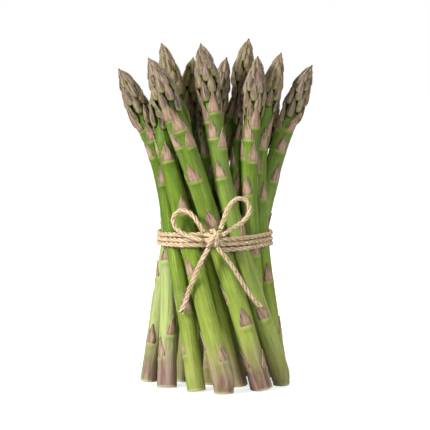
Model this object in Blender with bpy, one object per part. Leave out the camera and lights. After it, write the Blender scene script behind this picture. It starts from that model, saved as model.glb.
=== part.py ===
"""A bundle of fresh green asparagus, tied at the waist with jute twine in a bow, standing on its cut ends.

Units are metres, +Z is up, the bow faces -Y and +X is to the right of someone facing the bow.
Each spear is one solid, from its cut butt to its pointed head. The twine is six solids: the three
turns round the bundle, the knot, two bow loops and two tails.
"""

import math

import bmesh
import bpy
import numpy as np
from mathutils import Matrix, Vector

MM = 0.001

# Driving dimensions, in millimetres.
TALLEST = 220.0
LEVEL_STEP = 5.0
SPEAR_GAP = 0.5
SIDE_SHARE = 0.3
SETTLE_TURNS = 400
SPEAR_SIDES = 10
STEM_RINGS = 13
HEAD_LENGTH = 36.0
TWINE_DIAMETER = 3.0
TWINE_PITCH = 3.4
TWINE_TURNS = 3
TWINE_HEIGHT = 94.0
TWINE_TILT = 0.02
TWINE_CLEARANCE = 0.65
POINTS_PER_TURN = 32
KNOT_CENTRE = (-1.2, -37.8, 96.8)
KNOT_RADII = (4.4, 3.0, 5.2)

# Head radius as a share of its widest, against the share of the head's length down from its tip.
HEAD_DOWN = (0.0, 0.08, 0.22, 0.42, 0.62, 0.82, 1.0)
HEAD_WIDE = (0.07, 0.27, 0.56, 0.84, 1.0, 0.97, 0.84)

# Every spear: its axis from the cut end to the tip, the diameters of its butt, stem and head, and
# whether it was cut square to its own axis or level with the table.
SPEARS = {
    "spear_left_outer": {
        "axis": ((-11.5, -33, 0), (-19.5, -22, 56), (-27, -11, 93), (-32, -4, 129), (-38, -3, 155), (-61, -4, 201)),
        "diameters": (12.2, 10.6, 14.0),
        "cut": "level",
    },
    "spear_front_left": {
        "axis": ((7.5, -43, 0), (-7.5, -30, 57), (-16.5, -20, 94), (-27, -15, 135), (-33.5, -12, 158), (-35, -8, 200)),
        "diameters": (15.2, 12.0, 13.5),
        "cut": "square",
    },
    "spear_front_middle": {
        "axis": ((29.5, -28, 0), (14, -26, 57), (1.5, -23, 94), (-15.5, -24, 145), (-24.5, -24, 170), (-41.5, -24, 208)),
        "diameters": (14.6, 12.8, 16.4),
        "cut": "level",
    },
    "spear_front_right": {
        "axis": ((43.5, -6, 0), (26, -14, 55), (14.5, -20, 94), (4.5, -18, 132), (-1, -16, 170), (-9, -14, 217)),
        "diameters": (12.4, 11.4, 15.0),
        "cut": "square",
    },
    "spear_left_short": {
        "axis": ((-30.5, -18, 0), (-29.5, -8, 55), (-29, 2, 92), (-30, 7.5, 124), (-31, 9, 143), (-31, 9, 163)),
        "diameters": (13.4, 11.4, 12.4),
        "cut": "level",
    },
    "spear_left_back": {
        "axis": ((-43, 7, 0), (-35.5, 10, 52), (-29.5, 14, 91), (-20.5, 19, 136), (-16.5, 17, 168), (-14, 14, 208)),
        "diameters": (11.4, 10.4, 13.5),
        "cut": "square",
    },
    "spear_second_row": {
        "axis": ((15.5, -13, 0), (3, -13, 55), (-7.5, -12, 93), (-17, -8, 144), (-22, -4, 172), (-34, 0, 217)),
        "diameters": (12.0, 11.2, 14.0),
        "cut": "level",
    },
    "spear_right_blunt": {
        "axis": ((30, -8, 0), (26, -10, 55), (23, -13, 93), (21, -12, 131), (23.5, -10, 169), (27, -10, 209)),
        "diameters": (12.0, 11.2, 14.0),
        "cut": "level",
    },
    "spear_right_upright": {
        "axis": ((42.5, 9, 0), (34, 2, 53), (28.5, -2, 92), (27, 0, 143), (31, 0, 169), (42, 0, 211)),
        "diameters": (11.6, 10.8, 12.6),
        "cut": "level",
    },
    "spear_right_outer": {
        "axis": ((0, 22, 0), (16, 14, 52), (27, 9, 91), (38, 8, 143), (46.5, 8, 169), (62, 8, 203)),
        "diameters": (11.6, 10.8, 13.4),
        "cut": "level",
    },
    "spear_tallest": {
        "axis": ((-20.5, 4, 0), (-15.5, 10, 52), (-10.5, 14, 91), (3, 12, 143), (9, 11, 169), (21.5, 8, TALLEST)),
        "diameters": (11.6, 10.8, 14.0),
        "cut": "level",
    },
    "spear_back_middle": {
        "axis": ((-3, -6, 0), (-2, 2, 53), (0, 7, 92), (2.5, 11, 149), (4.5, 14, 175), (7.5, 17, 208)),
        "diameters": (11.0, 10.0, 12.0),
        "cut": "level",
    },
    "spear_inner_left": {
        "axis": ((-4, 8, 0), (-5, 3, 53), (-6, 0, 92), (-6, 0, 144), (-5.5, -1, 169), (-5, -2, 200)),
        "diameters": (11.0, 10.2, 11.6),
        "cut": "level",
    },
    "spear_inner_right": {
        "axis": ((7, 2, 0), (9, -3, 54), (10, -6, 93), (14.5, -4, 141), (18, -2, 169), (23.5, 0, 200)),
        "diameters": (11.0, 10.2, 11.6),
        "cut": "level",
    },
    "spear_back_left": {
        "axis": ((-26, 24, 0), (-21, 21, 55), (-17, 20, 93), (-14, 28, 140), (-15, 30, 160), (-17, 31, 188)),
        "diameters": (12.0, 11.0, 12.4),
        "cut": "level",
    },
    "spear_back_centre": {
        "axis": ((-12, 34, 0), (-5, 25, 55), (1, 20, 93), (2, 21, 140), (2, 23, 160), (2, 27, 190)),
        "diameters": (12.0, 11.0, 12.4),
        "cut": "level",
    },
    "spear_back_right": {
        "axis": ((18, 32, 0), (17, 22, 55), (16, 15, 93), (23, 15, 140), (25, 16, 160), (28, 19, 187)),
        "diameters": (12.0, 11.0, 12.4),
        "cut": "level",
    },
    "spear_back_outer": {
        "axis": ((33, 24, 0), (28, 20, 55), (22, 19, 93), (27, 17, 140), (32, 16, 160), (40, 15, 186)),
        "diameters": (12.0, 11.0, 12.4),
        "cut": "level",
    },
}

# Twine routes out of the knot, as points along each cord's middle.
LOOP_LEFT = (
    (-7.2, -38.4, 100.6), (-9.8, -38.0, 105.2), (-14.5, -36, 111.5), (-21, -33, 114), (-26, -31.5, 109.5),
    (-24.5, -32, 102.8), (-18.8, -34.8, 99), (-12.8, -37.6, 97), (-7.8, -39, 95.8),
)
LOOP_RIGHT = (
    (3.4, -39.0, 102.6), (5.0, -37.6, 107), (8.2, -34.5, 115.5), (13.7, -31.5, 121), (19.8, -29.5, 119.5),
    (21.5, -29.5, 112.8), (17.5, -31.5, 106.8), (9.6, -35.6, 102.2), (4.4, -38.8, 98.6),
)
TAIL_LEFT = (
    (-4.0, -39.2, 91.0), (-7.5, -38.6, 84.5), (-10.6, -37.4, 78), (-15.5, -35, 66), (-18.8, -32.5, 55.6),
    (-21.3, -31.5, 49.4),
)
TAIL_RIGHT = (
    (1.2, -39.2, 91.4), (6.6, -38.4, 85), (11.2, -37, 78.6), (18.8, -33.5, 66), (25.7, -30.5, 56),
    (29.4, -29.5, 53),
)

# Each cord's name, its route and the spacing of the points along it.
CORDS = (
    ("bow_loop_left", LOOP_LEFT, 3.6),
    ("bow_loop_right", LOOP_RIGHT, 3.6),
    ("twine_tail_left", TAIL_LEFT, 4.5),
    ("twine_tail_right", TAIL_RIGHT, 4.5),
)
SKIN = ("asparagus_skin", (0.30, 0.46, 0.09, 1.0), 0.45)
JUTE = ("jute_twine", (0.56, 0.40, 0.22, 1.0), 0.9)


def clear_scene():
    for obj in list(bpy.context.scene.objects):
        bpy.data.objects.remove(obj, do_unlink=True)


def material(name, colour, roughness):
    made = bpy.data.materials.new(name)
    made.use_nodes = True
    shader = made.node_tree.nodes["Principled BSDF"]
    shader.inputs["Base Color"].default_value = colour
    shader.inputs["Roughness"].default_value = roughness
    shader.inputs["Metallic"].default_value = 0.0
    return made


def smoothed(values, passes):
    """The values after repeated averaging with their neighbours, with both ends held."""
    values = np.array(values, float)
    for _ in range(passes):
        middle = 0.25 * values[:-2] + 0.5 * values[1:-1] + 0.25 * values[2:]
        values[1:-1] = middle
    return values


class Spear:
    """One spear's axis and radius at every level from the table up."""

    def __init__(self, axis, diameters, cut):
        points = np.array(axis, float)
        self.top = points[-1, 2]
        self.cut = cut
        self.diameters = diameters
        self.heights = np.append(np.arange(0.0, self.top, LEVEL_STEP), self.top)
        self.x = smoothed(np.interp(self.heights, points[:, 2], points[:, 0]), 6)
        self.y = smoothed(np.interp(self.heights, points[:, 2], points[:, 1]), 10)
        self.drawn_x = self.x.copy()
        self.drawn_y = self.y.copy()

    def radius(self, height):
        """The radius at a height: a tapering stem, then the head's bulge and point."""
        butt, stem, head = self.diameters
        down = (self.top - height) / HEAD_LENGTH
        low = np.clip(height / 60.0, 0.0, 1.0)
        along_stem = 0.5 * (butt + (stem - butt) * (1 - (1 - low) ** 2))
        neck = 0.5 * head * HEAD_WIDE[-1]
        blend = np.clip((down - 1.0) / 1.2, 0.0, 1.0)
        on_stem = neck + (along_stem - neck) * blend
        in_head = 0.5 * head * np.interp(down, HEAD_DOWN, HEAD_WIDE)
        return np.where(down < 1.0, in_head, on_stem)

    def point(self, height):
        x = np.interp(height, self.heights, self.x)
        y = np.interp(height, self.heights, self.y)
        return Vector((x, y, height))

    def direction(self, height):
        low = max(height - 4.0, 0.0)
        high = min(height + 4.0, self.top)
        return (self.point(high) - self.point(low)).normalized()


def settle(spears):
    """Moves the axes apart, mostly in depth, until no two spears touch at any level."""
    count = len(spears)
    for turn in range(SETTLE_TURNS):
        moves = [np.zeros((len(s.heights), 2)) for s in spears]
        for i in range(count):
            for j in range(i + 1, count):
                push_pair(spears[i], spears[j], moves[i], moves[j])
        hold = max(0.0, 1.0 - turn / (0.7 * SETTLE_TURNS))
        for spear, move in zip(spears, moves):
            spear.x = eased(spear.drawn_x, spear.x + spread(move[:, 0]), 0.06 * hold)
            spear.y = eased(spear.drawn_y, spear.y + spread(move[:, 1]), 0.01 * hold)


def eased(drawn, moved, pull):
    """A moved axis drawn a little back to where it began, with its shift evened out along it."""
    shift = (1.0 - pull) * (moved - drawn)
    even = shift.copy()
    even[1:-1] = 0.25 * shift[:-2] + 0.5 * shift[1:-1] + 0.25 * shift[2:]
    return drawn + 0.7 * shift + 0.3 * even


def spread(move):
    """A move shared with the levels above and below, so that an axis stays a smooth curve."""
    padded = np.pad(move, 3, mode="edge")
    weights = np.array((0.1, 0.2, 0.3, 0.35, 0.3, 0.2, 0.1))
    return np.convolve(padded, weights / 1.2, mode="valid")


def section_radius(spear, levels):
    """The longest half-width of the level cut through a leaning spear."""
    slope_x = np.gradient(spear.x, spear.heights)
    slope_y = np.gradient(spear.y, spear.heights)
    lean = np.sqrt(1.0 + slope_x ** 2 + slope_y ** 2)
    return spear.radius(spear.heights[:levels]) * lean[:levels]


def push_pair(first, second, move_first, move_second):
    """Adds to two spears' moves what pushes them apart where their level sections overlap."""
    levels = min(len(first.heights), len(second.heights)) - 1
    dx = second.x[:levels] - first.x[:levels]
    dy = second.y[:levels] - first.y[:levels]
    apart = np.hypot(dx, dy)
    wanted = section_radius(first, levels) + section_radius(second, levels) + SPEAR_GAP
    short = np.clip(wanted - apart, 0.0, 2.0)
    if not short.any():
        return
    side_x = SIDE_SHARE * dx
    side_y = dy + 0.001
    length = np.hypot(side_x, side_y)
    push = 0.5 * short / length
    move_first[:levels, 0] -= 0.5 * push * side_x
    move_first[:levels, 1] -= 0.5 * push * side_y
    move_second[:levels, 0] += 0.5 * push * side_x
    move_second[:levels, 1] += 0.5 * push * side_y


def centre_of_footprint(objects):
    """The middle of the box round the finished spears, seen from above, in millimetres."""
    corners = [obj.matrix_world @ vert.co / MM for obj in objects for vert in obj.data.vertices]
    low = Vector((min(c.x for c in corners), min(c.y for c in corners), 0.0))
    high = Vector((max(c.x for c in corners), max(c.y for c in corners), 0.0))
    return 0.5 * (low + high)


def ring_heights(spear):
    """Heights of the rings of a spear's skin: even up the stem and closer in the head."""
    neck = spear.top - HEAD_LENGTH
    stem = np.linspace(0.0, neck, STEM_RINGS)
    head = [spear.top - HEAD_LENGTH * down for down in HEAD_DOWN[-2::-1]]
    return np.append(stem, head)


def ring_frame(spear, height, level):
    """The matrix that puts a unit circle round the axis, level with the table or square to it."""
    along = Vector((0, 0, 1)) if level else spear.direction(height)
    turn = Vector((0, 0, 1)).rotation_difference(along).to_matrix().to_4x4()
    radius = float(spear.radius(height))
    stretch = Matrix.Diagonal((radius, radius, radius, 1.0))
    centre = spear.point(height)
    if height == 0.0 and not level:
        lean = spear.direction(0.0)
        centre = centre + lean * radius * math.hypot(lean.x, lean.y) / lean.z
    return Matrix.Translation(centre) @ turn @ stretch


def build_spear(name, spear, skin):
    """A closed skin: a circle at the cut, extruded up through every ring and closed at the tip."""
    mesh = bmesh.new()
    made = bmesh.ops.create_circle(mesh, cap_ends=True, segments=SPEAR_SIDES, radius=1.0)
    circle = made["verts"]
    butt = mesh.faces[:]
    edges = butt[0].edges[:]
    heights = ring_heights(spear)
    shape = [vert.co.copy() for vert in circle]
    place_ring(circle, shape, ring_frame(spear, 0.0, spear.cut == "level"))
    for height in heights[1:]:
        grown = bmesh.ops.extrude_edge_only(mesh, edges=edges)["geom"]
        circle = [item for item in grown if isinstance(item, bmesh.types.BMVert)]
        edges = [item for item in grown if isinstance(item, bmesh.types.BMEdge)]
        place_ring(circle, shape, ring_frame(spear, height, False))
    bmesh.ops.contextual_create(mesh, geom=edges)
    bmesh.ops.recalc_face_normals(mesh, faces=mesh.faces[:])
    bmesh.ops.transform(mesh, matrix=Matrix.Scale(MM, 4), verts=mesh.verts[:])
    data = bpy.data.meshes.new(name)
    mesh.to_mesh(data)
    mesh.free()
    data.materials.append(skin)
    data.shade_smooth()
    obj = bpy.data.objects.new(name, data)
    bpy.context.scene.collection.objects.link(obj)
    return obj


def place_ring(circle, shape, frame):
    for vert, unit in zip(circle, shape):
        vert.co = frame @ unit


def section_outline(spear, height):
    """Points round a spear's level section, grown by the twine's radius and clearance."""
    centre = spear.point(height)
    lean = spear.direction(height)
    grown = float(spear.radius(height)) / lean.z + 0.5 * TWINE_DIAMETER + TWINE_CLEARANCE
    angles = np.linspace(0.0, 2.0 * math.pi, 48, endpoint=False)
    return np.column_stack((centre.x + grown * np.cos(angles), centre.y + grown * np.sin(angles)))


def support_route(points, count):
    """A closed convex route round the points, as one point for each of count directions."""
    angles = -0.5 * math.pi + np.linspace(0.0, 2.0 * math.pi, 721)[:-1]
    normals = np.column_stack((np.cos(angles), np.sin(angles)))
    corners = points[np.argmax(points @ normals.T, axis=0)]
    lengths = np.append(0.0, np.cumsum(np.linalg.norm(np.diff(corners, axis=0, append=corners[:1]), axis=1)))
    wanted = np.linspace(0.0, lengths[-1], count, endpoint=False)
    closed = np.vstack((corners, corners[:1]))
    return np.column_stack((np.interp(wanted, lengths, closed[:, 0]), np.interp(wanted, lengths, closed[:, 1])))


def wrap_route(spears):
    """The twine's middle through its turns round the bundle, starting and ending behind the knot."""
    route = []
    for turn in range(TWINE_TURNS):
        base = TWINE_HEIGHT + TWINE_PITCH * (turn - 0.5 * TWINE_TURNS)
        levels = (base - 1.5, base + 0.5 * TWINE_PITCH, base + TWINE_PITCH + 1.5)
        outline = np.vstack([section_outline(s, z) for s in spears for z in levels])
        for step, (x, y) in enumerate(support_route(outline, POINTS_PER_TURN)):
            climb = TWINE_PITCH * step / POINTS_PER_TURN
            route.append((x, y, base + climb + TWINE_TILT * x))
    return np.array(route)


def smooth_route(points, spacing):
    """Evenly spaced points on a smooth curve through the given ones."""
    points = np.array(points, float)
    count = len(points)
    padded = np.vstack((2 * points[0] - points[1], points, 2 * points[-1] - points[-2]))
    fine = []
    for i in range(count - 1):
        a, b, c, d = padded[i:i + 4]
        for t in np.linspace(0.0, 1.0, 16, endpoint=False):
            fine.append(0.5 * (2 * b + (c - a) * t + (2 * a - 5 * b + 4 * c - d) * t * t
                               + (3 * b - a - 3 * c + d) * t ** 3))
    fine.append(points[-1])
    fine = np.array(fine)
    lengths = np.append(0.0, np.cumsum(np.linalg.norm(np.diff(fine, axis=0), axis=1)))
    wanted = np.linspace(0.0, lengths[-1], max(3, int(round(lengths[-1] / spacing)) + 1))
    return np.column_stack([np.interp(wanted, lengths, fine[:, axis]) for axis in range(3)])


def build_cord(name, route, jute):
    """A round cord with filled ends along a route in millimetres."""
    data = bpy.data.curves.new(name, "CURVE")
    data.dimensions = "3D"
    data.bevel_depth = 0.5 * TWINE_DIAMETER * MM
    data.bevel_resolution = 2
    data.use_fill_caps = True
    spline = data.splines.new("POLY")
    spline.points.add(len(route) - 1)
    for point, place in zip(spline.points, route):
        point.co = (place[0] * MM, place[1] * MM, place[2] * MM, 1.0)
    data.materials.append(jute)
    obj = bpy.data.objects.new(name, data)
    bpy.context.scene.collection.objects.link(obj)
    return obj


def build_knot(jute):
    """The bow's knot: a rounded lump pinched by the strand that crosses it."""
    mesh = bmesh.new()
    bmesh.ops.create_icosphere(mesh, subdivisions=3, radius=1.0)
    for vert in mesh.verts:
        pinch = 1.0 - 0.14 * math.exp(-(vert.co.x / 0.28) ** 2)
        vert.co.z *= pinch
    place = Matrix.Translation(KNOT_CENTRE) @ Matrix.Rotation(0.5, 4, "Y") @ Matrix.Diagonal((*KNOT_RADII, 1.0))
    bmesh.ops.transform(mesh, matrix=Matrix.Scale(MM, 4) @ place, verts=mesh.verts[:])
    data = bpy.data.meshes.new("twine_knot")
    mesh.to_mesh(data)
    mesh.free()
    data.materials.append(jute)
    data.shade_smooth()
    obj = bpy.data.objects.new("twine_knot", data)
    bpy.context.scene.collection.objects.link(obj)
    return obj


def main():
    clear_scene()
    skin = material(*SKIN)
    jute = material(*JUTE)
    spears = {name: Spear(**facts) for name, facts in SPEARS.items()}
    settle(list(spears.values()))
    grown = [build_spear(name, spear, skin) for name, spear in spears.items()]
    tied = [build_cord("twine_wraps", wrap_route(list(spears.values())), jute), build_knot(jute)]
    for name, route, spacing in CORDS:
        tied.append(build_cord(name, smooth_route(route, spacing), jute))
    middle = centre_of_footprint(grown)
    for obj in grown + tied:
        obj.data.transform(Matrix.Translation(-MM * middle))


main()
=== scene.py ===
"""The looks of a bundle of fresh asparagus, tied at the waist with a bow of jute twine.

Lengths are in millimetres while a piece is worked out, and metres in the scene. A bearing is an
angle round a spear's own axis: 0 faces -Y, where the bow is, and 90 faces +X. "Along" is a length
up a spear's axis from its cut end, and "up" is a share of a leaf's length from its base.
"""

import math

import bmesh
import bpy
import numpy as np
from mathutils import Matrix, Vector


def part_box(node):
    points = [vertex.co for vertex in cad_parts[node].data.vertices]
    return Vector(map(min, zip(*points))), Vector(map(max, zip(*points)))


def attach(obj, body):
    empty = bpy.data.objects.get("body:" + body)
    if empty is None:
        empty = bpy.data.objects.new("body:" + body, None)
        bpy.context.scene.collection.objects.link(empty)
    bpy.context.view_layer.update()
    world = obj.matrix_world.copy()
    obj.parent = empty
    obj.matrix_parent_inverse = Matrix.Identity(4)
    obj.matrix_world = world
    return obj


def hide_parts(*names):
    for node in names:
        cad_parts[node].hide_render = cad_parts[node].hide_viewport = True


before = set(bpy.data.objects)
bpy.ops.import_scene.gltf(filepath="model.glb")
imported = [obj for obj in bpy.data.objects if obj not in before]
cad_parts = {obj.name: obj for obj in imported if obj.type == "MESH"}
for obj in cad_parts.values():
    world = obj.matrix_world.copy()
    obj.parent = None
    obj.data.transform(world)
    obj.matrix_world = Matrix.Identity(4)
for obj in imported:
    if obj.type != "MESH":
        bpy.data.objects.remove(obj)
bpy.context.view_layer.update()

MM = 0.001
WHOLE_TURN = 2.0 * math.pi
ANY_TURN = 6.283  # the range of a bearing drawn at random
GOLDEN = math.radians(137.5)  # the turn from one leaf to the next, as a shoot grows them

HEAD_LENGTH = 40.0
HEAD_BUDS = 37
STEM_SIDES, STEM_RINGS = 40, 190
FACE_SPREAD = np.array((0.02, 0.45, 0.8, 0.93, 0.955))  # the radii of the rings on the cut face
FACE_RINGS = len(FACE_SPREAD)
LEAF_FLESH = 0.45  # thickness of a leaf

TWINE = 3.0  # diameter
PLIES = 3
PLY_PITCH = 4.4  # twine diameters in which a ply goes once round
PLY_RADIUS, PLY_OFFSET = 0.26, 0.245  # shares of the twine's diameter
WRAP_TURNS = 3
WRAP_PITCH = 3.35
STEP = 0.6  # spacing of the points along a cord

# Scale leaves that show from the front: the height of each leaf's base and its bearing.
FRONT_LEAVES = {
    "spear_front_middle": (
        (13, 84), (15, -62), (40, 20), (57, -92), (102, 9), (132, -9), (152, 50), (154, -55),
        (163, 15), (171, -20),
    ),
    "spear_front_left": ((18, 45), (27, -95), (72, -40), (110, 24), (143, 2)),
    "spear_front_right": (
        (44, 20), (96, 75), (133, -10), (151, 55), (158, -24), (169, -60), (174, 17),
    ),
    "spear_left_outer": ((22, -80), (48, 20), (128, 2), (146, -60), (156, 8), (164, -62)),
    "spear_left_short": ((18, -52), (32, 32), (78, -24), (104, -70)),
    "spear_left_back": ((24, -34), (66, -80), (160, -35), (169, 0)),
    "spear_right_upright": ((30, 85), (66, 28), (118, 50), (136, -20), (151, 20), (160, 70)),
    "spear_right_blunt": ((84, 20), (122, -22), (143, 32), (145, -85), (157, -24), (165, 22)),
    "spear_right_outer": ((98, 70), (130, 45), (149, 20), (161, -70), (163, 38), (170, -14)),
    "spear_second_row": ((98, 60), (120, -60), (140, 10), (156, -50)),
    "spear_tallest": ((132, -40), (150, 20), (161, 60), (171, -15)),
}

# How much brown each spear's butt has, and how pale the whole spear is. Below 0 is a deeper green.
BUTTS = {
    "spear_left_outer": (0.1, -0.2),
    "spear_left_short": (1.35, 0.75),
    "spear_left_back": (0.95, 0.85),
    "spear_front_left": (1.05, 0.0),
    "spear_front_middle": (1.25, 0.1),
    "spear_front_right": (0.55, 0.25),
    "spear_second_row": (0.9, 0.0),
    "spear_right_outer": (0.6, 0.3),
}
USUAL_BUTT = (0.7, 0.1)

# Heads that are fuller or slimmer than their solids, as a share of the solid's radius.
HEAD_GIRTH = {"spear_left_back": 1.16, "spear_second_row": 0.88, "spear_tallest": 0.95}

# Heads that are more olive than purple, as a share.
HEAD_OLIVE = {
    "spear_left_back": 1.0, "spear_second_row": 0.3, "spear_tallest": 0.2,
    "spear_right_upright": 0.25,
}

# The twine's routes, about the middle of the knot, as the solids follow them.
LOOP_LEFT = (
    (-6.0, -0.6, 3.8), (-8.6, -0.2, 8.4), (-13.3, 1.8, 14.7), (-19.8, 4.8, 17.2),
    (-24.8, 6.3, 12.7), (-23.3, 5.8, 6.0), (-17.6, 3.0, 2.2), (-11.6, 0.2, 0.2), (-6.6, -1.2, -1.0),
)
LOOP_RIGHT = (
    (4.6, -1.2, 5.8), (6.2, 0.2, 10.2), (9.4, 3.3, 18.7), (14.9, 6.3, 24.2), (21.0, 8.3, 22.7),
    (22.7, 8.3, 16.0), (18.7, 6.3, 10.0), (10.8, 2.2, 5.4), (5.6, -1.0, 1.8),
)
TAIL_LEFT = (
    (-2.8, -1.4, -5.8), (-6.3, -0.8, -12.3), (-9.4, 0.4, -18.8), (-14.3, 2.8, -30.8),
    (-17.6, 5.3, -41.2), (-20.1, 6.3, -47.4),
)
TAIL_RIGHT = (
    (2.4, -1.4, -5.4), (7.8, -0.6, -11.8), (12.4, 0.8, -18.2), (20.0, 4.3, -30.8),
    (26.9, 7.3, -40.8), (30.6, 8.3, -43.8),
)

# Each cord: its route, its node, its far end, its lay, where its plies start, how far they part at
# its open end, and its loose hairs.
CORDS = {
    "bow_loop_left_cord": (LOOP_LEFT, "bow_loop_left", "object", "loose", 0.7, 0.0, 120),
    "bow_loop_right_cord": (LOOP_RIGHT, "bow_loop_right", "object", "loose", 2.1, 0.0, 120),
    "twine_tail_left_cord": (TAIL_LEFT, "twine_tail_left", "bare", "hanging", 3.9, 0.9, 130),
    "twine_tail_right_cord": (TAIL_RIGHT, "twine_tail_right", "bare", "hanging", 5.2, 0.25, 120),
}
WRAP_HAIRS = 480
HAIR_RADIUS = 0.075

# The strands that cross in the knot, about its middle.
KNOT_STRANDS = (
    ((-5.6, 1.8, 2.6), (-3.2, -1.2, 2.4), (0.0, -2.6, 1.2), (3.2, -1.2, -1.6), (4.8, 1.6, -3.4)),
    ((4.8, 1.4, 4.6), (2.6, -1.8, 3.2), (-0.4, -3.4, 0.2), (-2.6, -2.2, -3.2), (-3.0, 0.6, -5.4)),
    ((-4.8, 1.0, -2.0), (-2.4, -1.4, -0.8), (0.6, -1.6, 1.2), (3.4, -0.6, 2.2), (5.6, 0.8, 2.0)),
    ((-1.6, 2.6, 4.2), (0.4, -0.4, 4.8), (2.4, -2.6, 2.0), (1.6, -2.4, -2.2), (1.8, -0.6, -5.2)),
)

# A leaf's outline: at these shares of its length up from the base, its share of the half-width.
STEM_LEAF = (
    (0.0, 0.08, 0.25, 0.45, 0.65, 0.82, 1.0),
    (0.88, 1.0, 0.91, 0.71, 0.45, 0.22, 0.02),
)
HEAD_LEAF = (
    (0.0, 0.08, 0.2, 0.36, 0.56, 0.76, 0.9, 1.0),
    (0.42, 0.76, 0.97, 1.0, 0.8, 0.47, 0.22, 0.03),
)
# A leaf's profile: at these shares of its length, its margins' lift off the skin, and how much more
# its middle lifts.
STEM_PROFILE = ((0.0, 0.2, 0.6, 1.0), (0.04, 0.14, 0.30, 0.70), (0.08, 0.34, 0.26, 0.02))
HEAD_PROFILE = (
    (0.0, 0.12, 0.35, 0.65, 1.0),
    (0.0, 0.1, 0.25, 0.6, 1.2),
    (0.4, 1.6, 2.2, 1.6, 0.3),
)
# Up the head: the number of the bud, then how far its foot is below the tip, its length, its width,
# and how far it is sunk into the skin.
BUD_STAGES = (0, 10, 36)
BUD_DOWN = (HEAD_LENGTH + 1.0, 25.0, 1.3)
BUD_LENGTH = (15.0, 13.0, 8.0)
BUD_WIDTH = (8.3, 7.2, 3.3)
BUD_SINK = (1.25, 1.1, 0.7)

# Numbers that a spear's points carry for its materials: the skin's, then the leaves'.
SKIN_NUMBERS = ("joint", "under", "butt", "low", "high", "pale", "core", "rim", "cut", "neck")
LEAF_NUMBERS = ("leaf_up", "leaf_side", "head", "tone", "olive")

knot_low, knot_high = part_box("twine_knot")
KNOT = 0.5 * (np.array(knot_low) + np.array(knot_high)) / MM


# ---------------------------------------------------------------- camera, light and floor

CAMERA_PLACE = (-0.0005, -1.3947, 0.225)
CAMERA_DIP = 4.767  # degrees below level
CAMERA_LENS = 184.0
LIGHT_AIM = Vector((0.0, 0.0, 0.12))
ROOM_LIGHT, ROOM_SEEN = 0.07, 1.0  # the white room's strength on the object, and to the camera


def add_camera():
    data = bpy.data.cameras.new("Camera")
    data.lens = CAMERA_LENS
    data.sensor_width = 36.0
    data.clip_end = 20.0
    camera = bpy.data.objects.new("Camera", data)
    bpy.context.scene.collection.objects.link(camera)
    camera.location = CAMERA_PLACE
    camera.rotation_euler = (math.radians(90.0 - CAMERA_DIP), 0.0, 0.0)
    bpy.context.scene.camera = camera


def add_area_light(name, place, size, power, colour):
    """A square softbox that faces the middle of the bundle."""
    data = bpy.data.lights.new(name, "AREA")
    data.shape = "RECTANGLE"
    data.size = data.size_y = size
    data.energy = power
    data.color = colour
    light = bpy.data.objects.new(name, data)
    bpy.context.scene.collection.objects.link(light)
    light.location = place
    light.rotation_euler = (LIGHT_AIM - Vector(place)).to_track_quat("-Z", "Y").to_euler()


def light_studio():
    """A key light on the left, weaker ones round it, and a white room that sheds little light."""
    white = (1.0, 1.0, 1.0)
    add_area_light("left_softbox", (-1.05, -0.8, 0.75), 0.4, 28.0, (1.0, 0.99, 0.95))
    add_area_light("front_softbox", (0.45, -1.3, 0.6), 0.4, 6.5, (1.0, 1.0, 0.98))
    add_area_light("right_softbox", (1.2, -0.5, 0.4), 0.6, 4.0, white)
    add_area_light("back_softbox", (0.6, 1.3, 0.7), 0.9, 12.0, white)
    add_area_light("top_softbox", (0.1, 0.35, 1.2), 0.7, 5.0, white)
    world = bpy.data.worlds.new("studio_white")
    bpy.context.scene.world = world
    world.use_nodes = True
    back = world.node_tree.nodes["Background"]
    path = world.node_tree.nodes.new("ShaderNodeLightPath")
    strength = world.node_tree.nodes.new("ShaderNodeMapRange")
    strength.inputs["To Min"].default_value = ROOM_LIGHT
    strength.inputs["To Max"].default_value = ROOM_SEEN
    world.node_tree.links.new(path.outputs["Is Camera Ray"], strength.inputs["Value"])
    world.node_tree.links.new(strength.outputs["Result"], back.inputs["Strength"])
    back.inputs["Color"].default_value = (1.0, 1.0, 1.0, 1.0)
    bpy.context.scene.view_settings.view_transform = "Standard"


# ---------------------------------------------------------------- shader expressions

class Value:
    """A number that varies over a surface: arithmetic on it adds Math nodes."""

    def __init__(self, shader, socket):
        self.shader = shader
        self.socket = socket

    def math(self, operation, *others, clamp=False):
        node = self.shader.node("ShaderNodeMath", {"operation": operation, "use_clamp": clamp})
        for slot, value in enumerate((self,) + others):
            self.shader.feed(node.inputs[slot], value)
        return Value(self.shader, node.outputs[0])

    def __add__(self, other):
        return self.math("ADD", other)

    def __sub__(self, other):
        return self.math("SUBTRACT", other)

    def __mul__(self, other):
        return self.math("MULTIPLY", other)

    def __rsub__(self, other):
        return (self * -1.0) + other

    __radd__ = __add__
    __rmul__ = __mul__

    def clamped(self):
        return self.math("ADD", 0.0, clamp=True)

    def ramp(self, low, high, start=0.0, end=1.0):
        """A smooth step from start at low to end at high."""
        settings = {"interpolation_type": "SMOOTHSTEP"}
        values = {"Value": self, "From Min": low, "From Max": high, "To Min": start, "To Max": end}
        made = self.shader.node("ShaderNodeMapRange", settings, values)
        return Value(self.shader, made.outputs[0])


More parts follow.
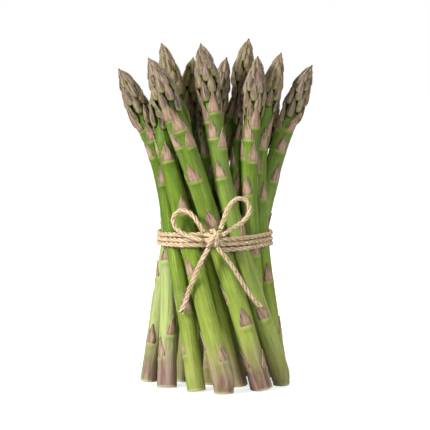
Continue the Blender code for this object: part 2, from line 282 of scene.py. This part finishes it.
class Shader:
    """One material's node tree with its Principled shader."""

    def __init__(self, name):
        self.material = bpy.data.materials.new(name)
        self.material.use_nodes = True
        self.tree = self.material.node_tree
        self.surface = self.tree.nodes["Principled BSDF"]

    def feed(self, socket, value):
        if isinstance(value, Value):
            self.tree.links.new(value.socket, socket)
        elif isinstance(value, bpy.types.NodeSocket):
            self.tree.links.new(value, socket)
        else:
            socket.default_value = value

    def node(self, kind, settings=None, values=None):
        made = self.tree.nodes.new(kind)
        for name, setting in (settings or {}).items():
            setattr(made, name, setting)
        for name, value in (values or {}).items():
            self.feed(made.inputs[name], value)
        return made

    def attribute(self, name):
        """A number that the piece's points carry."""
        made = self.node("ShaderNodeAttribute", {"attribute_name": name})
        return Value(self, made.outputs["Fac"])

    def grain(self):
        """The place on the piece's own surface, in millimetres, with Z along its fibres."""
        return self.node("ShaderNodeAttribute", {"attribute_name": "grain"}).outputs["Vector"]

    def stretched(self, vector, share):
        """The grain with its length shortened, so that a pattern on it runs in long lines."""
        values = {0: vector, 1: (1.0, 1.0, share)}
        return self.node("ShaderNodeVectorMath", {"operation": "MULTIPLY"}, values).outputs[0]

    def noise(self, vector, scale, detail=2.0, roughness=0.5):
        values = {"Vector": vector, "Scale": scale, "Detail": detail, "Roughness": roughness}
        return Value(self, self.node("ShaderNodeTexNoise", {}, values).outputs["Fac"])

    def mix(self, share, first, second):
        """The first colour, with a share of the second over it."""
        made = self.node("ShaderNodeMix", {"data_type": "RGBA"}, {0: share, 6: first, 7: second})
        return made.outputs[2]

    def bump(self, height, distance, strength):
        values = {"Height": height, "Distance": distance, "Strength": strength}
        self.feed(self.surface.inputs["Normal"], self.node("ShaderNodeBump", {}, values).outputs[0])

    def set(self, **sockets):
        """Sets or links the surface's sockets, named with _ for a space."""
        for name, value in sockets.items():
            self.feed(self.surface.inputs[name.replace("_", " ")], value)


def srgb(text):
    """A linear colour from a six-digit code."""
    parts = [int(text[i:i + 2], 16) / 255.0 for i in (0, 2, 4)]
    linear = [p / 12.92 if p <= 0.04045 else ((p + 0.055) / 1.055) ** 2.4 for p in parts]
    return (*linear, 1.0)


def skin_material():
    """The stem: waxy green with lengthwise lines, paler low down, and a brown blush at the butt."""
    s = Shader("asparagus_skin")
    place = s.grain()
    hair = s.noise(s.stretched(place, 0.06), 2.4, 3.0, 0.6)
    line = s.noise(s.stretched(place, 0.05), 0.75, 3.0, 0.6)
    broad = s.noise(s.stretched(place, 0.14), 0.24, 2.0)
    patch = s.noise(place, 0.09, 3.0)
    specks = s.noise(place, 1.3, 3.0)
    pale, low = s.attribute("pale"), s.attribute("low")
    colour = s.mix(broad.ramp(0.3, 0.7), srgb("557405"), srgb("739208"))
    lighter = (patch.ramp(0.4, 0.75) * 0.25 + low * 0.65 + pale * 0.6).clamped()
    colour = s.mix(lighter, colour, srgb("ABBB40"))
    colour = s.mix(pale * 0.75, colour, srgb("B5C48E"))
    colour = s.mix(line.ramp(0.5, 0.72) * 0.4, colour, srgb("B4C266"))
    colour = s.mix(line.ramp(0.5, 0.28) * 0.6, colour, srgb("3F6106"))
    colour = s.mix(hair.ramp(0.5, 0.75) * 0.2, colour, srgb("B0BE60"))
    colour = s.mix(s.attribute("neck") * 0.4, colour, srgb("567C06"))
    colour = s.mix(s.attribute("high") * 0.5, colour, srgb("44620A"))
    colour = s.mix((low * (0.5 + 1.5 * (broad - 0.5))).clamped() * 0.6, colour, srgb("B3AC74"))
    colour = s.mix(specks.ramp(0.66, 0.74) * 0.4, colour, srgb("C9CF9A"))
    joint = s.attribute("joint")
    colour = s.mix(joint * 0.5, colour, srgb("BDBB70"))
    # Painted shade: a darker green band on the skin just below each leaf's foot.
    colour = s.mix(s.attribute("under") * 0.2, colour, srgb("4A6A12"))
    streak = s.attribute("butt") * (0.85 + 2.2 * (line - 0.5) + 1.4 * (hair - 0.5))
    blush = s.mix(broad.ramp(0.35, 0.65), srgb("7B5B54"), srgb("A98E84"))
    colour = s.mix(streak.clamped(), colour, blush)
    colour = s.mix(s.attribute("rim") * 0.8, colour, srgb("D2CFA2"))
    # Painted shade: the slim core inside the head is near black, so the gaps between the buds read
    # as shadow.
    colour = s.mix(s.attribute("core"), colour, srgb("232A0C"))
    cut = s.attribute("cut")
    pith = s.mix(specks.ramp(0.45, 0.7), srgb("D9DDB0"), srgb("B9C089"))
    colour = s.mix(cut, colour, pith)
    s.set(Base_Color=colour, Roughness=0.34 + 0.2 * specks + 0.25 * cut)
    s.set(Subsurface_Weight=0.06, Subsurface_Radius=(0.6, 1.0, 0.3), Subsurface_Scale=0.0012,
          Specular_IOR_Level=0.28, Sheen_Weight=0.1, Sheen_Roughness=0.4,
          Sheen_Tint=(0.85, 1.0, 0.75, 1.0))
    s.bump(hair * 0.4 + 0.8 * line + 0.2 * broad + 0.15 * specks, 0.0008, 0.7)
    return s.material


def leaf_material():
    """A scale leaf: purple-brown with lengthwise veins. On the stem its flanks and point are darker
    and its foot is tan. In the head its margin and foot are yellow-green, edged with painted shade."""
    s = Shader("scale_leaf")
    place = s.grain()
    hair = s.noise(s.stretched(place, 0.08), 2.6, 3.0, 0.6)
    veins = s.noise(s.stretched(place, 0.10), 1.0, 3.0, 0.6)
    patch = s.noise(place, 0.35, 2.0)
    up, side = s.attribute("leaf_up"), s.attribute("leaf_side")
    across = side.math("ABSOLUTE")
    head, tone = s.attribute("head"), s.attribute("tone")
    flank = (across.ramp(0.35, 0.9) * 0.6 + up.ramp(0.3, 1.0) * 0.6).clamped()
    stem_colour = s.mix(flank, srgb("B3947C"), srgb("66463A"))
    stem_colour = s.mix(patch.ramp(0.35, 0.7) * 0.4, stem_colour, srgb("A07F6E"))
    stem_colour = s.mix(tone * 0.3, stem_colour, srgb("876856"))
    head_colour = s.mix(tone, srgb("4A3330"), srgb("80665E"))
    head_colour = s.mix(patch.ramp(0.45, 0.62) * 0.55, head_colour, srgb("7E7538"))
    # The lighter, pinker middle of each bud is partly its own colour and partly a painted highlight
    # on its bulge.
    middle = across.ramp(0.55, 0.1) * up.ramp(0.9, 0.4)
    head_colour = s.mix(middle * 0.5, head_colour, srgb("97797E"))
    head_colour = s.mix(s.attribute("olive") * 0.7, head_colour, srgb("A89A60"))
    head_colour = s.mix(up.ramp(0.75, 1.0) * 0.5, head_colour, srgb("503D34"))
    colour = s.mix(head, stem_colour, head_colour)
    colour = s.mix(veins.ramp(0.5, 0.66) * (0.55 - 0.13 * head), colour, srgb("C8B896"))
    colour = s.mix(veins.ramp(0.5, 0.34) * 0.75, colour, srgb("32221A"))
    colour = s.mix(hair.ramp(0.5, 0.75) * 0.2, colour, srgb("C8B6A0"))
    fold = (side - (tone - 0.5) * 1.5 * (1.05 - up)).math("ABSOLUTE")
    colour = s.mix(fold.ramp(0.14, 0.04) * head * 0.45, colour, srgb("B5AC7C"))
    margin = across.ramp(0.5, 0.72) * head
    colour = s.mix(margin * patch.ramp(0.35, 0.65, 0.0, 0.5), colour, srgb("93904F"))
    edge = across.ramp(0.93, 1.0) * (1.0 - head)
    colour = s.mix(edge * 0.6, colour, srgb("CFC3A6"))
    colour = s.mix(up.ramp(0.12, 0.0) * (1.0 - head) * 0.7, colour, srgb("BDB27C"))
    colour = s.mix(up.ramp(0.28, 0.08) * head * 0.7, colour, srgb("9DA650"))
    # Painted shade: a near-black line round each bud's margin and foot, standing in for the shadow
    # in the gaps between the buds.
    painted_gap_shade = (across.ramp(0.78, 0.93) + up.ramp(0.07, 0.0)).clamped() * head
    colour = s.mix(painted_gap_shade * 0.95, colour, srgb("171605"))
    s.set(Base_Color=colour, Roughness=0.46 + 0.2 * veins, Specular_IOR_Level=0.4)
    s.bump(veins + 0.4 * hair, 0.0008, 0.8)
    return s.material


def twine_material():
    """Jute: straw-brown fibres running along each twisted ply, with painted shade between the
    plies.
    """
    s = Shader("jute_twine")
    place = s.grain()
    fibre = s.noise(s.stretched(place, 0.12), 2.6, 4.0, 0.75)
    patch = s.noise(place, 0.22, 2.0)
    groove = s.attribute("groove")
    colour = s.mix(fibre.ramp(0.38, 0.62), srgb("AC8558"), srgb("FDEBCD"))
    colour = s.mix(patch.ramp(0.4, 0.7) * 0.35, colour, srgb("DCC39B"))
    # Painted shade: the side of each ply that faces the other plies is darkened.
    colour = s.mix(groove * 0.8, colour, srgb("553A1E"))
    s.set(Base_Color=colour, Roughness=0.85, Specular_IOR_Level=0.2)
    s.bump(fibre, 0.0004, 0.9)
    return s.material


def floor_material():
    """White paper that glows to the camera, dimmer near the bundle as a painted soft shadow round
    its foot and brighter further out, so it meets the white room without a line.
    """
    s = Shader("pale_floor")
    room = s.node("ShaderNodeTexCoord").outputs["Object"]
    away = s.node("ShaderNodeVectorMath", {"operation": "LENGTH"}, {0: room}).outputs["Value"]
    seen = Value(s, s.node("ShaderNodeLightPath").outputs["Is Camera Ray"])
    # Painted shadow: the glow is dimmer near the bundle, as a soft shadow round its foot.
    glow_with_painted_shadow = s.mix(Value(s, away).ramp(0.1, 0.4), (0.72, 0.72, 0.72, 1.0), (1.0, 1.0, 1.0, 1.0))
    glow = s.mix(seen, (0.0, 0.0, 0.0, 1.0), glow_with_painted_shadow)
    s.set(Base_Color=(0.5, 0.5, 0.5, 1.0), Roughness=0.9, Emission_Color=glow,
          Emission_Strength=1.0, Specular_IOR_Level=0.0)
    return s.material


# ---------------------------------------------------------------- shapes that are swept and copied

TUBES = {}


def put_in_order(mesh):
    """Sorts the faces by their points. The operators that grow them keep no fixed order."""
    mesh.verts.index_update()

    def place(face):
        numbers = sorted(vert.index for vert in face.verts)
        return numbers[0] * len(mesh.verts) + numbers[-1]

    mesh.faces.sort(key=place)


def tube_shape(sides, rings):
    """A closed tube of unit radius whose rings are one unit apart, made once for each size."""
    if (sides, rings) in TUBES:
        return TUBES[sides, rings]
    mesh = bmesh.new()
    bmesh.ops.create_circle(mesh, cap_ends=True, segments=sides, radius=1.0)
    edges = mesh.edges[:]
    for _ in range(rings - 1):
        grown = bmesh.ops.extrude_edge_only(mesh, edges=edges)["geom"]
        edges = [item for item in grown if isinstance(item, bmesh.types.BMEdge)]
        verts = [item for item in grown if isinstance(item, bmesh.types.BMVert)]
        bmesh.ops.translate(mesh, vec=(0, 0, 1), verts=verts)
    bmesh.ops.contextual_create(mesh, geom=edges)
    bmesh.ops.recalc_face_normals(mesh, faces=mesh.faces[:])
    put_in_order(mesh)
    TUBES[sides, rings] = mesh_of(mesh, "tube_%d_%d" % (sides, rings))
    return TUBES[sides, rings]


def leaf_shape(across, along):
    """A flat leaf blank two units wide and long, with its inner face one unit behind."""
    mesh = bmesh.new()
    bmesh.ops.create_grid(mesh, x_segments=across, y_segments=along, size=1.0)
    bmesh.ops.solidify(mesh, geom=mesh.faces[:], thickness=1.0)
    top = max(vert.co.z for vert in mesh.verts)
    bmesh.ops.translate(mesh, vec=(0, 0, -top), verts=mesh.verts[:])
    bmesh.ops.recalc_face_normals(mesh, faces=mesh.faces[:])
    put_in_order(mesh)
    return mesh_of(mesh, "leaf_blank")


def mesh_of(mesh, name):
    data = bpy.data.meshes.new(name)
    mesh.to_mesh(data)
    mesh.free()
    return data


def points_of(data):
    flat = np.empty(3 * len(data.vertices))
    data.vertices.foreach_get("co", flat)
    return flat.reshape(-1, 3)


def rings_of(tube):
    """For each point of a tube, the number of its ring and its angle round it."""
    points = points_of(tube)
    return np.round(points[:, 2]).astype(int), np.arctan2(points[:, 1], points[:, 0])


# ---------------------------------------------------------------- lines

def lengths_along(line):
    """The length of a line up to each of its points."""
    return np.append(0.0, np.cumsum(np.linalg.norm(np.diff(line, axis=0), axis=1)))


def read_line(wanted, lengths, line):
    """The places at the wanted lengths along a line."""
    return np.column_stack([np.interp(wanted, lengths, column) for column in line.T])


def smoothed(values):
    """A row of numbers or points with its kinks eased, and its ends left where they are."""
    values = values.copy()
    for _ in range(6):
        values[1:-1] = 0.25 * values[:-2] + 0.5 * values[1:-1] + 0.25 * values[2:]
    return values


class Piece:
    """A piece gathered from placed copies of shapes, whose points carry numbers for materials."""

    def __init__(self, name):
        self.name = name
        self.mesh = bmesh.new()

    def add(self, shape, places, slot=0, grain=None, **numbers):
        part = shape.copy()
        part.vertices.foreach_set("co", (places * MM).ravel())
        layer = part.attributes.new("grain", "FLOAT_VECTOR", "POINT")
        layer.data.foreach_set("vector", (places if grain is None else grain).ravel())
        for name, values in numbers.items():
            layer = part.attributes.new(name, "FLOAT", "POINT")
            layer.data.foreach_set("value", np.broadcast_to(values, len(places)).astype(float))
        part.polygons.foreach_set("material_index", np.full(len(part.polygons), slot))
        self.mesh.from_mesh(part)
        bpy.data.meshes.remove(part)

    def finish(self, materials, slot, replaced=()):
        data = mesh_of(self.mesh, self.name)
        for made in materials:
            data.materials.append(made)
        data.shade_smooth()
        obj = bpy.data.objects.new(self.name, data)
        bpy.context.scene.collection.objects.link(obj)
        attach(obj, "root")
        if replaced:
            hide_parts(*replaced)
        return obj


# ---------------------------------------------------------------- spears

class Axis:
    """A spear's middle line and radius, read from level cuts through its solid."""

    def __init__(self, node):
        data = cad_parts[node].data
        points = points_of(data) / MM
        ends = np.empty(2 * len(data.edges), int)
        data.edges.foreach_get("vertices", ends)
        first, second = points[ends[::2]], points[ends[1::2]]
        low, high = points[:, 2].min(), points[:, 2].max()
        heights = np.linspace(low + 2.5, high - 0.8, 110)
        cuts = [self.cut(first, second, height) for height in heights]
        middle = np.array([c[0] for c in cuts])
        radius = np.array([c[1] for c in cuts])
        line = np.column_stack((smoothed(middle[:, :2]), heights))
        start = line[0] + (line[0] - line[3]) * (heights[0] - low) / (heights[3] - heights[0])
        above = (high - heights[-1]) / (heights[-1] - heights[-4])
        finish = line[-1] + (line[-1] - line[-4]) * above
        self.line = np.vstack((start, line, finish))
        self.radii = np.concatenate((radius[:1], smoothed(radius), (0.3,)))
        self.lengths = lengths_along(self.line)
        self.length = self.lengths[-1]
        fuller = HEAD_GIRTH.get(node, 1.0) - 1.0
        into_head = (self.lengths - self.length + HEAD_LENGTH + 12.0) / 14.0
        self.radii *= 1.0 + fuller * np.clip(into_head, 0.0, 1.0)

    @staticmethod
    def cut(first, second, height):
        """The middle and radius of a level cut through the solid's edges."""
        crossing = (first[:, 2] - height) * (second[:, 2] - height) < 0
        a, b = first[crossing], second[crossing]
        share = (height - a[:, 2:]) / (b[:, 2:] - a[:, 2:])
        ring = a + share * (b - a)
        low, high = ring.min(0), ring.max(0)
        return 0.5 * (low + high), 0.5 * min(high[0] - low[0], high[1] - low[1]) * 1.02

    def at(self, along):
        """Points at these lengths, with the directions to the bow's side, the right and along."""
        point = self.sample(along)
        ahead = self.sample(np.minimum(along + 1.5, self.length))
        behind = self.sample(np.maximum(along - 1.5, 0.0))
        forward = ahead - behind
        forward /= np.linalg.norm(forward, axis=1, keepdims=True)
        front = np.array((0.0, -1.0, 0.0)) - forward * (-forward[:, 1:2])
        front /= np.linalg.norm(front, axis=1, keepdims=True)
        return point, front, np.cross(forward, front), forward

    def sample(self, along):
        return read_line(along, self.lengths, self.line)

    def radius(self, along):
        return np.interp(along, self.lengths, self.radii)

    def along_at(self, height):
        return np.interp(height, self.line[:, 2], self.lengths)

    def wrap(self, along, bearing, radius):
        """Points round the spear at these lengths, bearings and distances from its middle line."""
        point, front, right, _ = self.at(along)
        turn = front * np.cos(bearing)[:, None] + right * np.sin(bearing)[:, None]
        return point + turn * radius[:, None]


def turned_away(bearing, other):
    """The angle between two bearings, from minus half a turn to half a turn."""
    return (bearing - other + math.pi) % WHOLE_TURN - math.pi


def leaf_places(name, axis, rng):
    """Every stem leaf as its base's length along the spear, its bearing and its own length."""
    top = axis.length - HEAD_LENGTH
    shown = [(float(axis.along_at(h)), math.radians(b)) for h, b in FRONT_LEAVES.get(name, ())]
    places = [(a, b) for a, b in shown if a < top + 1.0]
    along = 10.0 + 8.0 * rng.random()
    bearing = rng.random() * ANY_TURN
    while along < top:
        bearing += GOLDEN
        turned = turned_away(bearing, 0.0)
        hidden = abs(turned) > math.radians(100)
        clear = all(abs(a - along) > 3.0 or abs(b - turned) > 1.6 for a, b in places)
        if (hidden or not shown) and clear:
            places.append((along, turned))
        share = along / top
        along += 4.2 + 11.0 * (1.0 - share) ** 0.8
    return places


def stem_radius(axis, along, bearing, places, seed):
    """The skin's radius: the solid's, with faint ribs, slow swellings and a ridge beneath each
    leaf.
    With it come the shares of the pale line at each leaf's foot and of the painted shade below it."""
    foot = np.exp(-along / 22.0)
    ribs = (0.010 + 0.012 * foot) * np.cos(5 * bearing + seed)
    ribs = ribs + 0.006 * np.cos(8 * bearing + 2 * seed)
    ribs = ribs + (0.004 + 0.012 * foot) * np.cos(13 * bearing + 3 * seed + 0.03 * along)
    slow = 0.012 * np.sin(along / 17.0 + seed) + 0.008 * np.sin(along / 7.3 + 2.0 * seed)
    radius = axis.radius(along) * (0.985 + ribs + slow)
    joint, under = np.zeros_like(along), np.zeros_like(along)
    for base, turn in places:
        away = turned_away(bearing, turn)
        near = np.exp(-(away / 0.85) ** 2)
        ridge = np.exp(-((along - base + 0.6) / 1.5) ** 2)
        hollow = np.exp(-((along - base - 4.0) / 3.0) ** 2)
        radius = radius + 0.6 * near * ridge - 0.16 * near * hollow
        shade = np.exp(-((along - base + 2.6) / 1.6) ** 2)
        line = np.exp(-((along - base + 0.1) / 0.75) ** 2)
        under = np.maximum(under, shade * np.exp(-(away / 0.8) ** 4))
        joint = np.maximum(joint, line * np.exp(-(away / 0.75) ** 4))
    return radius, joint, under


def add_stem(piece, axis, places, seed, blush, pale):
    """The stem, from its cut face to the slim core inside the head, which is painted near black as
    the shade in the gaps between the buds.
    """
    shape = tube_shape(STEM_SIDES, STEM_RINGS)
    ring, bearing = rings_of(shape)
    edge = 0.6
    levels = np.concatenate((
        np.zeros(FACE_RINGS),
        np.linspace(0.0, edge, 3)[1:],
        np.linspace(edge, axis.length, STEM_RINGS - FACE_RINGS - 1)[1:],
    ))
    along = levels[ring]
    radius, joint, under = stem_radius(axis, along, bearing, places, seed)
    down = (axis.length - along) / HEAD_LENGTH
    core = np.clip((1.12 - down) / 0.3, 0.0, 1.0)
    radius = np.maximum(radius - 2.1 * core, 0.12)
    on_face = ring < FACE_RINGS
    radius = radius * np.where(on_face, FACE_SPREAD[np.minimum(ring, FACE_RINGS - 1)], 1.0)
    placed = axis.wrap(along, bearing, radius)
    placed[:, 2] = np.maximum(placed[:, 2], 0.0)
    grain = np.column_stack((radius * np.cos(bearing) + 40 * seed, radius * np.sin(bearing), along))
    numbers = dict.fromkeys(LEAF_NUMBERS, 0.0)
    numbers.update({
        "joint": joint,
        "under": under,
        "butt": blush * np.clip(1.2 - along / 30.0, 0.0, 1.0),
        "low": np.clip(1.0 - along / 90.0, 0.0, 1.0),
        "high": np.clip((along - 85.0) / 60.0, 0.0, 1.0),
        "pale": pale,
        "core": np.clip(3.4 - 4.0 * down, 0.0, 1.0),
        "rim": np.exp(-((along - 0.2) / 0.7) ** 2) * (~on_face),
        "cut": on_face.astype(float),
        "neck": np.clip(1.9 - down, 0.0, 1.0),
    })
    piece.add(shape, placed, 0, grain, **numbers)


class Leaf:
    """One scale leaf: its place, its size, and how it lies on the skin."""

    def __init__(self, base, bearing, length, width, tone, seed, lean=0.0, sink=0.0, scale=1.0,
                 olive=0.0, in_head=False):
        self.base, self.bearing, self.length, self.width = base, bearing, length, width
        self.tone, self.seed, self.lean, self.olive = tone, seed, lean, olive
        self.sink, self.scale, self.in_head = sink, scale, in_head

    def lift(self, up, across, along, axis):
        """Its height off the skin, which closes down to a point at the top of a head."""
        ups, margin, middle = HEAD_PROFILE if self.in_head else STEM_PROFILE
        rise = np.interp(up, ups, self.scale * np.array(margin))
        belly = np.interp(up, ups, self.scale * np.array(middle))
        closing = np.clip((axis.length + 1.5 - along) / 5.0, 0.25, 1.0) if self.in_head else 1.0
        return (rise + belly * (1.0 - across ** 2)) * closing

    def add_to(self, piece, blank, axis):
        across, up, back = points_of(blank).T
        up = 0.5 * (up + 1.0)
        half = 0.5 * self.width * np.interp(up, *(HEAD_LEAF if self.in_head else STEM_LEAF))
        round_foot = 0.4 if self.in_head else 0.2
        along = self.base + up * self.length - 0.5 * (1.0 - up) * across ** 2 * round_foot
        skin = axis.radius(np.minimum(along, axis.length)) - self.sink
        outer = np.maximum(skin, 0.15) + self.lift(up, across, along, axis)
        aside = across * half + self.lean * self.width * up
        turn = self.bearing + aside / np.maximum(outer, 1.1)
        along = along + 1.6 * self.lean * across * (1.0 - up)
        radius = np.maximum(outer + back * LEAF_FLESH, 0.05)
        placed = axis.wrap(np.minimum(along, axis.length), turn, radius)
        past_tip = np.maximum(along - axis.length, 0.0)
        placed = placed + axis.at(np.full(len(along), axis.length))[3] * past_tip[:, None]
        grain = np.column_stack((
            across * half + 31.0 * self.seed, 0.2 * back + 7.0 * self.seed, up * self.length,
        ))
        numbers = dict.fromkeys(SKIN_NUMBERS, 0.0)
        numbers.update(leaf_up=up, leaf_side=across, head=float(self.in_head), tone=self.tone,
                       olive=self.olive)
        piece.add(blank, placed, 1, grain, **numbers)


def add_head(piece, blank, axis, rng, olive):
    """The closed tip: plump pointed buds in a spiral, loose round the neck and close above."""
    bearing = rng.random() * ANY_TURN
    for number in range(HEAD_BUDS):
        down, usual_length, usual_width, usual_sink = (
            float(np.interp(number, BUD_STAGES, values))
            for values in (BUD_DOWN, BUD_LENGTH, BUD_WIDTH, BUD_SINK)
        )
        down = down + rng.uniform(-0.4, 0.4)
        base = axis.length - down
        length = min(usual_length * rng.uniform(0.88, 1.12), down + 0.6)
        wide = float(axis.radius(base + 0.3 * length))
        width = min(usual_width, 0.82 * wide + 1.6) * rng.uniform(0.88, 1.1)
        bearing += GOLDEN + rng.uniform(-0.12, 0.12)
        scale = 0.6 + 0.4 * min(1.0, wide / 6.0)
        sink = usual_sink * scale + rng.uniform(-0.25, 0.25)
        bud = Leaf(base, bearing, length, width, rng.random(), number + 50, sink=sink,
                   scale=scale, olive=olive, in_head=True)
        bud.add_to(piece, blank, axis)


def add_spear(name, index, blank, skin, leaf):
    """A whole spear in one piece. Returns its axis, which the twine is drawn round."""
    rng = np.random.default_rng(100 + index)
    axis = Axis(name)
    seed = 1.7 * index
    piece = Piece(name + "_grown")
    places = leaf_places(name, axis, rng)
    add_stem(piece, axis, places, seed, *BUTTS.get(name, USUAL_BUTT))
    stem_width = 2.0 * float(axis.radius(0.5 * axis.length))
    for number, (base, bearing) in enumerate(places):
        length = rng.uniform(11.5, 14.0)
        width = 0.84 * stem_width * rng.uniform(0.92, 1.06)
        tone, lean = rng.random(), rng.uniform(-0.16, 0.16)
        Leaf(base, bearing, length, width, tone, number, lean).add_to(piece, blank, axis)
    add_head(piece, blank, axis, rng, HEAD_OLIVE.get(name, 0.0))
    piece.finish([skin, leaf], "asparagus_skin", [name])
    return axis


# ---------------------------------------------------------------- twine

def smooth_route(points, spacing):
    """Evenly spaced points on a smooth curve through the given ones."""
    points = np.array(points, float)
    padded = np.vstack((2 * points[0] - points[1], points, 2 * points[-1] - points[-2]))
    fine = []
    for i in range(len(points) - 1):
        a, b, c, d = padded[i:i + 4]
        for t in np.linspace(0.0, 1.0, 16, endpoint=False):
            bend = (2 * a - 5 * b + 4 * c - d) * t * t + (3 * b - a - 3 * c + d) * t ** 3
            fine.append(0.5 * (2 * b + (c - a) * t + bend))
    return evenly(np.array(fine + [points[-1]]), spacing)


def evenly(line, spacing):
    """The same line with its points about one spacing apart."""
    lengths = lengths_along(line)
    count = max(4, int(round(lengths[-1] / spacing)) + 1)
    return read_line(np.linspace(0.0, lengths[-1], count), lengths, line)


def carried_frames(line):
    """The direction along a line, and two across it that don't twist as they follow it."""
    forward = np.gradient(line, axis=0)
    forward /= np.linalg.norm(forward, axis=1, keepdims=True)
    side = np.cross(forward[0], (0.3, 1.0, 0.2))
    sides = []
    for ahead in forward:
        side = side - ahead * np.dot(side, ahead)
        side = side / np.linalg.norm(side)
        sides.append(side)
    sides = np.array(sides)
    return forward, sides, np.cross(forward, sides)


def across(side, other, angle):
    """The direction at this angle round a line, from its two directions across."""
    return side * np.cos(angle)[:, None] + other * np.sin(angle)[:, None]


def sweep(piece, line, radii, sides, seed, ridges=0.0, outward=None):
    """A closed round strand along a line. Its painted shade deepens on the side away from outward.
    """
    shape = tube_shape(sides, len(line))
    ring, angle = rings_of(shape)
    _, side, other = carried_frames(line)
    lengths = lengths_along(line)[ring]
    thick = max(radii.max(), 0.01)
    radius = radii[ring] * (1.0 + ridges * np.cos(4 * angle - 2.0 * lengths / thick))
    turn = across(side[ring], other[ring], angle)
    placed = line[ring] + turn * radius[:, None]
    twist = angle + 0.55 * lengths / thick
    grain = np.column_stack((
        radii[ring] * np.cos(twist) + 9.0 * seed, radii[ring] * np.sin(twist), lengths,
    ))
    groove = 0.0
    if outward is not None:
        groove = np.clip(0.25 - np.sum(outward[ring] * turn, axis=1), 0.0, 1.0)
    piece.add(shape, placed, 0, grain, groove=groove)


def add_twine(piece, line, diameter, seed, open_end=0.0):
    """Plies laid round each other along a line. An open end lets them part."""
    _, side, other = carried_frames(line)
    lengths = lengths_along(line)
    part = 1.0 + open_end * np.clip(1.0 - (lengths[-1] - lengths) / 6.0, 0.0, 1.0) ** 1.5
    radii = np.full(len(line), PLY_RADIUS * diameter)
    radii[[0, -1]] *= 0.4
    for ply in range(PLIES):
        angle = seed + WHOLE_TURN * (ply / PLIES + lengths / (PLY_PITCH * diameter))
        out = across(side, other, angle)
        middle = line + out * (PLY_OFFSET * diameter * part)[:, None]
        sweep(piece, middle, radii, 10, seed + ply, 0.07, out)


def wrap_line(axes, height, offset):
    """One turn round the spears, drawn tight, at a height. It gives X and Y only."""
    angles = np.linspace(0.0, WHOLE_TURN, 60, endpoint=False)
    corners = []
    for axis in axes:
        for level in (height - 1.3, height, height + 1.3):
            along = np.array([axis.along_at(level)])
            point, _, _, forward = axis.at(along)
            grown = float(axis.radius(along)[0]) / forward[0, 2] + 0.5 * TWINE + offset
            corners.append(np.column_stack((point[0, 0] + grown * np.cos(angles),
                                            point[0, 1] + grown * np.sin(angles))))
    corners = np.vstack(corners)
    bearings = -0.5 * math.pi + np.linspace(0.0, WHOLE_TURN, 1441)[:-1]
    normals = np.column_stack((np.cos(bearings), np.sin(bearings)))
    hull = corners[np.argmax(corners @ normals.T, axis=0)]
    closed = np.vstack((hull, hull[:1]))
    lengths = lengths_along(closed)
    return read_line(np.linspace(0.0, lengths[-1], 241), lengths, closed)


def wraps_route(axes):
    """The turns round the bundle as one climbing line, tilted a little up to the right."""
    low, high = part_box("twine_wraps")
    middle = 0.5 * (low.z + high.z) / MM
    route = []
    for turn in range(WRAP_TURNS):
        level = middle + WRAP_PITCH * (turn - 1.0)
        ring = wrap_line(axes, level, -0.15)
        share = np.linspace(0.0, 1.0, len(ring))
        rise = WRAP_PITCH * (share - 0.5)
        settle = 0.25 * np.sin(9.0 * share + 2.1 * turn)
        height = level + rise + 0.02 * ring[:, 0] + settle
        route.append(np.column_stack((ring, height))[:-1])
    return np.vstack(route)


def add_wraps(axes, jute):
    piece = Piece("twine_wraps_laid")
    line = evenly(smoothed(wraps_route(axes)), 0.65)
    add_twine(piece, line, TWINE, 0.4)
    piece.finish([jute], "jute_twine", ["twine_wraps"])
    return line


def add_cord(name, jute, route, node, far_end, lay, seed, open_end):
    """A loop or tail of the bow."""
    line = smooth_route(np.array(route) + KNOT, STEP)
    piece = Piece(name)
    add_twine(piece, line, TWINE, seed, open_end)
    obj = piece.finish([jute], "jute_twine", [node])
    return line


def add_knot(jute):
    piece = Piece("twine_knot_tied")
    for number, route in enumerate(KNOT_STRANDS):
        line = smooth_route(np.array(route) + KNOT, STEP)
        add_twine(piece, line, TWINE * 0.96, 1.3 * number)
    piece.finish([jute], "jute_twine", ["twine_knot"])


def add_fuzz(lines, jute):
    """Loose jute hairs standing off the twine."""
    rng = np.random.default_rng(7)
    piece = Piece("twine_fuzz")
    for line, count in lines:
        forward, side, other = carried_frames(line)
        for _ in range(count):
            at = int(rng.integers(1, len(line) - 1))
            angle = rng.random() * ANY_TURN
            out = side[at] * math.cos(angle) + other[at] * math.sin(angle)
            start = line[at] + out * 0.44 * TWINE
            sense = 1.0 if rng.random() < 0.5 else -1.0
            reach = rng.uniform(1.0, 3.4)
            lean = forward[at] * sense * rng.uniform(0.5, 1.3) + out * rng.uniform(0.2, 0.9)
            curl = rng.normal(0.0, 0.35, 3)
            share = np.linspace(0.0, 1.0, 5)[:, None]
            hair = start + reach * share * lean + 0.5 * reach * share ** 2 * curl
            radii = HAIR_RADIUS * (1.0 - 0.7 * share[:, 0])
            sweep(piece, hair, radii, 3, rng.random() * 9)
    piece.finish([jute], "jute_twine")


# ---------------------------------------------------------------- the bundle

def add_floor():
    mesh = bmesh.new()
    bmesh.ops.create_grid(mesh, x_segments=1, y_segments=1, size=6.0)
    data = mesh_of(mesh, "floor")
    data.materials.append(floor_material())
    floor = bpy.data.objects.new("floor", data)
    bpy.context.scene.collection.objects.link(floor)


def main():
    add_camera()
    light_studio()
    add_floor()
    skin, leaf, jute = skin_material(), leaf_material(), twine_material()
    blank = leaf_shape(4, 6)
    names = sorted(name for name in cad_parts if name.startswith("spear_"))
    axes = [add_spear(name, index, blank, skin, leaf) for index, name in enumerate(names)]
    lines = [(add_wraps(axes, jute), WRAP_HAIRS)]
    add_knot(jute)
    for name, (*facts, hairs) in CORDS.items():
        lines.append((add_cord(name, jute, *facts), hairs))
    add_fuzz(lines, jute)
    for shape in TUBES.values():
        bpy.data.meshes.remove(shape)


main()
